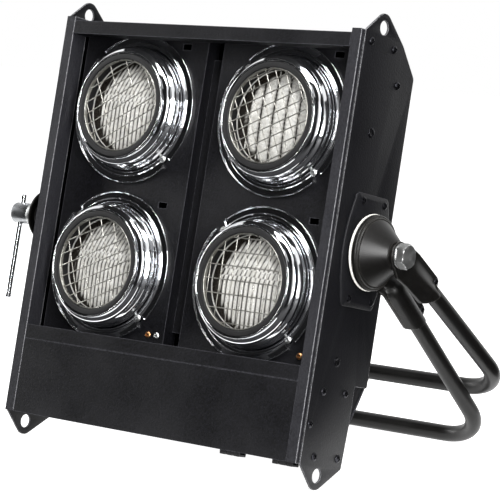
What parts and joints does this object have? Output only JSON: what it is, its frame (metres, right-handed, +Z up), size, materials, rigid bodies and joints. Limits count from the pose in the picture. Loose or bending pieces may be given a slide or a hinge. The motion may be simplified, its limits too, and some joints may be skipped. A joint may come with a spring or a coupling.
{
  "type": "audience blinder",
  "caption": "Stage blinder: a black sheet-steel head with round swivelling lamps behind wire guards, held between bent tube yokes on a clamped pivot.",
  "frame": {"origin": "middle of the outer box on the floor, standing as in the picture", "axes": "+X along the pivot axis to the lamp side's right as a viewer in front sees it, +Y backwards, +Z up; the lamps face -Y and a little up"},
  "size_m": [0.5584, 0.3614, 0.4923],
  "materials": {
    "black_paint": "black textured powder coat, satin",
    "chrome": "bright chrome plate",
    "zinc": "bright zinc plate",
    "brass": "copper-coloured plated screw",
    "white_nylon": "moulded nylon, satin",
    "black_rubber": "matt black rubber",
    "lamp_glass": "pressed clear glass over an aluminised reflector",
    "bare_metal": "mill-finish extruded aluminium",
    "black_plastic": "moulded black nylon"
  },
  "bodies": {
    "floor_stand": {"inner_yoke_tube": "black_paint", "inner_bracket_L": "black_paint", "inner_bracket_R": "black_paint", "hub_cone_L": "black_paint", "hub_cone_R": "black_paint", "friction_washer_L": "white_nylon", "friction_washer_R": "white_nylon"},
    "outer_yoke": {"outer_yoke_tube": "black_paint", "outer_bracket_L": "black_paint", "outer_bracket_R": "black_paint"},
    "clamp_nut": {"clamp_nut": "chrome"},
    "tommy_bar": {"tommy_bar": "chrome"},
    "lamp_unit_TL": {"bezel_TL": "chrome", "lamp_TL": "lamp_glass", "guard_TL": "zinc", "gasket_TL": "black_rubber"},
    "lamp_unit_TR": {"bezel_TR": "chrome", "lamp_TR": "lamp_glass", "guard_TR": "zinc", "gasket_TR": "black_rubber"},
    "lamp_unit_BL": {"bezel_BL": "chrome", "lamp_BL": "lamp_glass", "guard_BL": "zinc", "gasket_BL": "black_rubber"},
    "lamp_unit_BR": {"bezel_BR": "chrome", "lamp_BR": "lamp_glass", "guard_BR": "zinc", "gasket_BR": "black_rubber"},
    "head": {"captive_nut_L": "zinc", "captive_nut_R": "zinc", "centre_spine": "black_paint", "chassis_plate": "black_paint", "clamp_collar": "zinc", "clamp_stud": "zinc", "data_in": "black_plastic", "data_out": "black_plastic", "dimmer_module": "bare_metal", "front_stile_L": "black_paint", "front_stile_R": "black_paint", "lamp_ring_BL": "chrome", "lamp_ring_BR": "chrome", "lamp_ring_TL": "chrome", "lamp_ring_TR": "chrome", "lamp_tray_L": "black_paint", "lamp_tray_R": "black_paint", "lower_cover": "black_paint", "lower_rail": "black_paint", "mains_inlet": "black_plastic", "mains_outlet": "black_plastic", "pivot_bolt": "zinc", "pivot_plate_L": "black_paint", "pivot_plate_R": "black_paint", "rear_cover": "black_paint", "side_plate_L": "black_paint", "side_plate_R": "black_paint", "terminal_block": "white_nylon", "top_rail": "black_paint", "tray_screw_1": "brass", "tray_screw_2": "brass", "tray_screw_3": "brass"}
  },
  "joints": [
    {"name": "head_tilt", "type": "hinge", "parent": "floor_stand", "child": "head", "pos_m": [0.01123, -0.07497, 0.2435], "axis": [1, 0, 0], "range_deg": [-90, 0]},
    {"name": "outer_yoke_swing", "type": "hinge", "parent": "floor_stand", "child": "outer_yoke", "pos_m": [0.01123, -0.07497, 0.2435], "axis": [1, 0, 0], "range_deg": [-2, 240]},
    {"name": "lamp_swivel_TL", "type": "hinge", "parent": "head", "child": "lamp_unit_TL", "pos_m": [-0.09177, -0.086, 0.37606], "axis": [0.7071, -0.1446, -0.6922], "range_deg": [-15, 15]},
    {"name": "lamp_swivel_TR", "type": "hinge", "parent": "head", "child": "lamp_unit_TR", "pos_m": [0.11422, -0.086, 0.37606], "axis": [0.7071, -0.1446, -0.6922], "range_deg": [-15, 15]},
    {"name": "lamp_swivel_BL", "type": "hinge", "parent": "head", "child": "lamp_unit_BL", "pos_m": [-0.09177, -0.12228, 0.20241], "axis": [0.7071, -0.1446, -0.6922], "range_deg": [-15, 15]},
    {"name": "lamp_swivel_BR", "type": "hinge", "parent": "head", "child": "lamp_unit_BR", "pos_m": [0.11422, -0.12228, 0.20241], "axis": [0.7071, -0.1446, -0.6922], "range_deg": [-15, 15]},
    {"name": "clamp_nut_turn", "type": "hinge", "parent": "head", "child": "clamp_nut", "pos_m": [0.01123, -0.07497, 0.2435], "axis": [1, 0, 0], "range_deg": [-180, 180]},
    {"name": "tommy_bar_slide", "type": "slide", "parent": "clamp_nut", "child": "tommy_bar", "axis": [0, 0.2045, 0.9789], "range_m": [-0.009, 0.079]}
  ]
}
